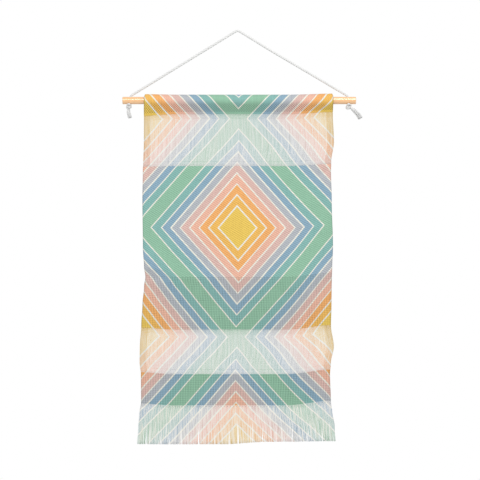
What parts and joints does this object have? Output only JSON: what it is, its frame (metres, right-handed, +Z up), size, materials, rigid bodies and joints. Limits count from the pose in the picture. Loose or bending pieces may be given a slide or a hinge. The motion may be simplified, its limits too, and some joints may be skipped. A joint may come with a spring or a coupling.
{
  "type": "textile wall hanging on a rod",
  "caption": "Woven cloth with sheer bands and a fringe, its top sleeve on a wooden rod that hangs from a twisted cord.",
  "frame": {"origin": "the underside of the hanging cord's peak, where the nail or hook bears", "axes": "+Z up, +Y towards the wall, +X to the right as seen from the front"},
  "size_m": [0.4148, 0.0202, 0.7226],
  "materials": {
    "cloth": "matt woven polyester-cotton cloth with dyed stripes",
    "fringe": "loose matt warp yarns in the stripes' colours",
    "rod": "pale sanded softwood dowel, satin",
    "cord": "white twisted cotton, matt"
  },
  "bodies": {
    "root": {"cloth": "cloth", "fringe": "fringe", "rod": "rod", "cord": "cord", "knot_left": "cord", "knot_right": "cord", "tail_left": "cord", "tail_right": "cord"}
  },
  "joints": []
}
